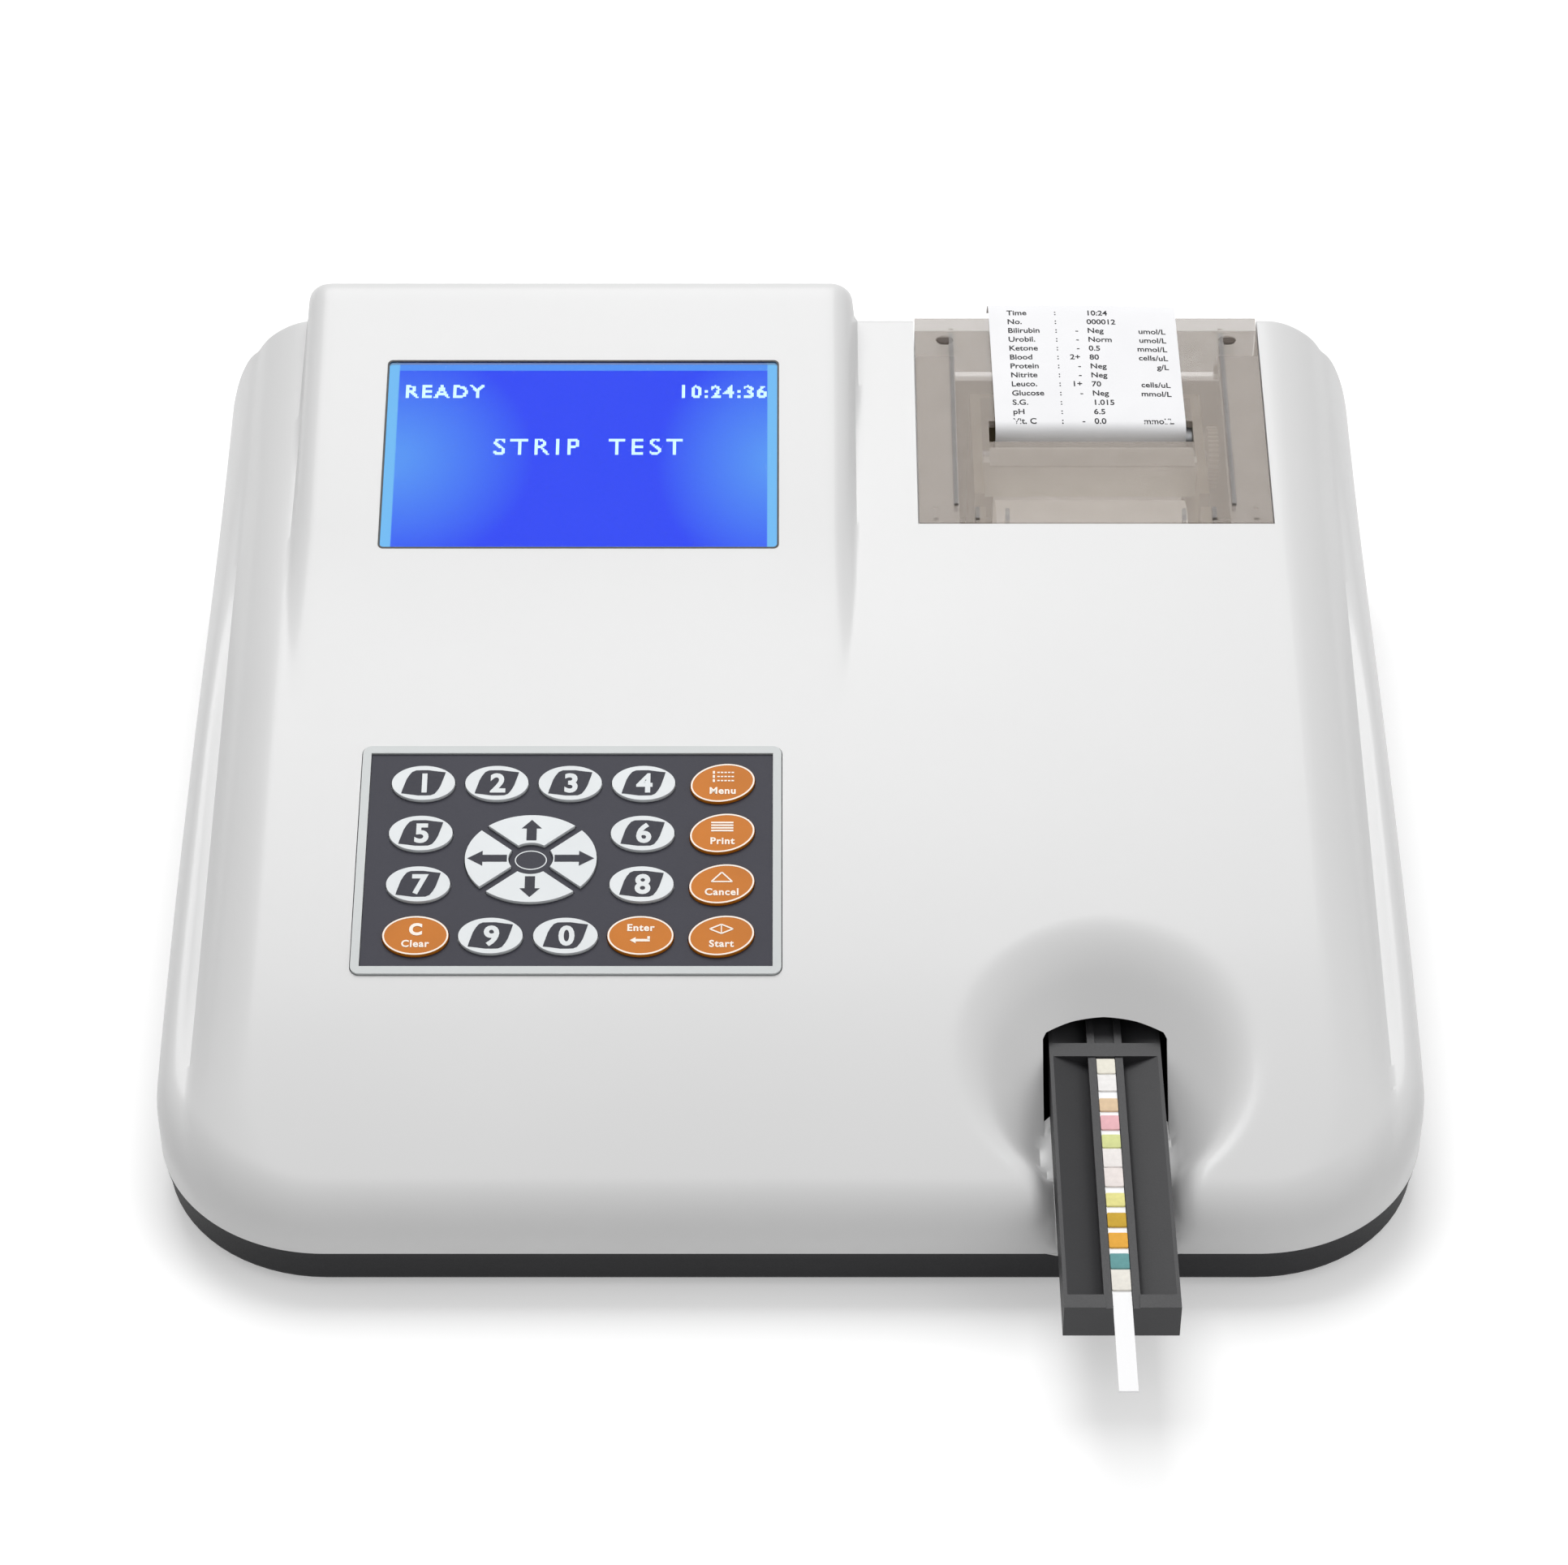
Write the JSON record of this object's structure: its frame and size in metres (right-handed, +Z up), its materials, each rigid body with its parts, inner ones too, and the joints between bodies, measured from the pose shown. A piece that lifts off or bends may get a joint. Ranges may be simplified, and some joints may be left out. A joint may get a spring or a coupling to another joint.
{
  "type": "urine analyzer",
  "caption": "Bench analyzer for test strips with a sliding strip tray, display, keypad and a thermal printer under a hinged smoked cover.",
  "frame": {"origin": "middle of the outer box at the level of the feet", "axes": "+X to the right seen from the user, +Y from the front to the rear, +Z up"},
  "size_m": [0.345, 0.384, 0.108],
  "materials": {
    "housing_white": "moulded ABS, fine satin texture",
    "pan_dark": "moulded ABS, fine texture",
    "foot_rubber": "matte",
    "screw_steel": "machined",
    "window_clear": "clear acrylic",
    "display_blue": "backlit display",
    "border_grey": "satin",
    "overlay_dark": "fine satin film",
    "board_green": "solder mask",
    "key_white": "satin",
    "key_orange": "satin",
    "cover_smoke": "smoked clear acrylic",
    "paper_white": "thermal paper",
    "printer_beige": "moulded",
    "head_ceramic": "glazed",
    "platen_black": "ground",
    "gear_white": "acetal",
    "motor_steel": "zinc plated",
    "tray_dark": "satin",
    "strip_white": "film",
    "pad_colours": "soaked paper pads in several colours",
    "optics_black": "matte"
  },
  "bodies": {
    "housing": {"top_cover": "housing_white", "base_pan": "pan_dark", "rubber_feet": "foot_rubber", "case_screws": "screw_steel", "display_window": "window_clear", "display_module": "display_blue", "keypad_border": "border_grey", "keypad_overlay": "overlay_dark", "keypad_board": "board_green", "key_domes": "screw_steel", "hinge_pins": "screw_steel", "paper_web": "paper_white", "printer_frame": "printer_beige", "print_head": "head_ceramic", "feed_motor": "motor_steel", "tray_guide": "optics_black", "drive_motor": "motor_steel", "optics_head": "optics_black", "main_board": "board_green", "power_supply": "board_green", "power_inlet": "pan_dark", "rocker_case": "pan_dark", "data_port": "motor_steel"},
    "cover": {"printer_cover": "cover_smoke", "tear_bar": "screw_steel", "receipt": "paper_white"},
    "roll": {"paper_roll": "paper_white", "roll_spindle": "printer_beige"},
    "platen": {"platen_rubber": "platen_black", "platen_shaft": "screw_steel", "platen_gear": "gear_white"},
    "feed": {"feed_pinion": "gear_white"},
    "tray": {"strip_tray": "tray_dark", "tray_rack": "gear_white", "test_strip": "strip_white", "reagent_pads": "pad_colours", "white_reference": "head_ceramic"},
    "drive": {"drive_pinion": "gear_white"},
    "rocker": {"power_rocker": "pan_dark"},
    "key_one_cap": {"key_one": "key_white"},
    "key_two_cap": {"key_two": "key_white"},
    "key_three_cap": {"key_three": "key_white"},
    "key_four_cap": {"key_four": "key_white"},
    "key_five_cap": {"key_five": "key_white"},
    "key_six_cap": {"key_six": "key_white"},
    "key_seven_cap": {"key_seven": "key_white"},
    "key_eight_cap": {"key_eight": "key_white"},
    "key_clear_cap": {"key_clear": "key_orange"},
    "key_nine_cap": {"key_nine": "key_white"},
    "key_zero_cap": {"key_zero": "key_white"},
    "key_enter_cap": {"key_enter": "key_orange"},
    "key_menu_cap": {"key_menu": "key_orange"},
    "key_print_cap": {"key_print": "key_orange"},
    "key_cancel_cap": {"key_cancel": "key_orange"},
    "key_start_cap": {"key_start": "key_orange"},
    "cursor_up_cap": {"cursor_up": "key_white"},
    "cursor_down_cap": {"cursor_down": "key_white"},
    "cursor_left_cap": {"cursor_left": "key_white"},
    "cursor_right_cap": {"cursor_right": "key_white"}
  },
  "joints": [
    {"name": "key_one_press", "type": "slide", "parent": "housing", "child": "key_one_cap", "axis": [0, 0.2233, -0.9748], "range_m": [0, 0.0005], "stiffness_N_per_m": 400},
    {"name": "key_two_press", "type": "slide", "parent": "housing", "child": "key_two_cap", "axis": [0, 0.2233, -0.9748], "range_m": [0, 0.0005], "stiffness_N_per_m": 400},
    {"name": "key_three_press", "type": "slide", "parent": "housing", "child": "key_three_cap", "axis": [0, 0.2233, -0.9748], "range_m": [0, 0.0005], "stiffness_N_per_m": 400},
    {"name": "key_four_press", "type": "slide", "parent": "housing", "child": "key_four_cap", "axis": [0, 0.2233, -0.9748], "range_m": [0, 0.0005], "stiffness_N_per_m": 400},
    {"name": "key_five_press", "type": "slide", "parent": "housing", "child": "key_five_cap", "axis": [0, 0.2233, -0.9748], "range_m": [0, 0.0005], "stiffness_N_per_m": 400},
    {"name": "key_six_press", "type": "slide", "parent": "housing", "child": "key_six_cap", "axis": [0, 0.2233, -0.9748], "range_m": [0, 0.0005], "stiffness_N_per_m": 400},
    {"name": "key_seven_press", "type": "slide", "parent": "housing", "child": "key_seven_cap", "axis": [0, 0.2233, -0.9748], "range_m": [0, 0.0005], "stiffness_N_per_m": 400},
    {"name": "key_eight_press", "type": "slide", "parent": "housing", "child": "key_eight_cap", "axis": [0, 0.2233, -0.9748], "range_m": [0, 0.0005], "stiffness_N_per_m": 400},
    {"name": "key_clear_press", "type": "slide", "parent": "housing", "child": "key_clear_cap", "axis": [0, 0.2233, -0.9748], "range_m": [0, 0.0005], "stiffness_N_per_m": 400},
    {"name": "key_nine_press", "type": "slide", "parent": "housing", "child": "key_nine_cap", "axis": [0, 0.2233, -0.9748], "range_m": [0, 0.0005], "stiffness_N_per_m": 400},
    {"name": "key_zero_press", "type": "slide", "parent": "housing", "child": "key_zero_cap", "axis": [0, 0.2233, -0.9748], "range_m": [0, 0.0005], "stiffness_N_per_m": 400},
    {"name": "key_enter_press", "type": "slide", "parent": "housing", "child": "key_enter_cap", "axis": [0, 0.2233, -0.9748], "range_m": [0, 0.0005], "stiffness_N_per_m": 400},
    {"name": "key_menu_press", "type": "slide", "parent": "housing", "child": "key_menu_cap", "axis": [0, 0.2233, -0.9748], "range_m": [0, 0.0005], "stiffness_N_per_m": 400},
    {"name": "key_print_press", "type": "slide", "parent": "housing", "child": "key_print_cap", "axis": [0, 0.2233, -0.9748], "range_m": [0, 0.0005], "stiffness_N_per_m": 400},
    {"name": "key_cancel_press", "type": "slide", "parent": "housing", "child": "key_cancel_cap", "axis": [0, 0.2233, -0.9748], "range_m": [0, 0.0005], "stiffness_N_per_m": 400},
    {"name": "key_start_press", "type": "slide", "parent": "housing", "child": "key_start_cap", "axis": [0, 0.2233, -0.9748], "range_m": [0, 0.0005], "stiffness_N_per_m": 400},
    {"name": "cursor_up_press", "type": "slide", "parent": "housing", "child": "cursor_up_cap", "axis": [0, 0.2233, -0.9748], "range_m": [0, 0.0005], "stiffness_N_per_m": 400},
    {"name": "cursor_down_press", "type": "slide", "parent": "housing", "child": "cursor_down_cap", "axis": [0, 0.2233, -0.9748], "range_m": [0, 0.0005], "stiffness_N_per_m": 400},
    {"name": "cursor_left_press", "type": "slide", "parent": "housing", "child": "cursor_left_cap", "axis": [0, 0.2233, -0.9748], "range_m": [0, 0.0005], "stiffness_N_per_m": 400},
    {"name": "cursor_right_press", "type": "slide", "parent": "housing", "child": "cursor_right_cap", "axis": [0, 0.2233, -0.9748], "range_m": [0, 0.0005], "stiffness_N_per_m": 400},
    {"name": "cover_hinge", "type": "hinge", "parent": "housing", "child": "cover", "pos_m": [0.09, 0.178, 0.0765], "axis": [-1, 0, 0], "range_deg": [0, 85]},
    {"name": "roll_spin", "type": "hinge", "parent": "housing", "child": "roll", "pos_m": [0.09, 0.1165, 0.05], "axis": [1, 0, 0], "continuous": true},
    {"name": "platen_spin", "type": "hinge", "parent": "housing", "child": "platen", "pos_m": [0.09, 0.1414, 0.071], "axis": [1, 0, 0], "continuous": true},
    {"name": "feed_spin", "type": "hinge", "parent": "housing", "child": "feed", "pos_m": [0.12, 0.15266, 0.0645], "axis": [1, 0, 0], "continuous": true},
    {"name": "tray_slide", "type": "slide", "parent": "housing", "child": "tray", "axis": [0, 1, 0], "range_m": [0, 0.09]},
    {"name": "drive_spin", "type": "hinge", "parent": "housing", "child": "drive", "pos_m": [0.086, -0.046, 0.01635], "axis": [-1, 0, 0], "range_deg": [-5, 745]},
    {"name": "rocker_tip", "type": "hinge", "parent": "housing", "child": "rocker", "pos_m": [-0.096, 0.178, 0.033], "axis": [-1, 0, 0], "range_deg": [0, 14]}
  ],
  "couplings": [
    {"joint": "platen_spin", "follows": "roll_spin", "ratio": -3.8},
    {"joint": "feed_spin", "follows": "roll_spin", "ratio": 8.55},
    {"joint": "drive_spin", "follows": "tray_slide", "rad_per_m": 142.86}
  ]
}
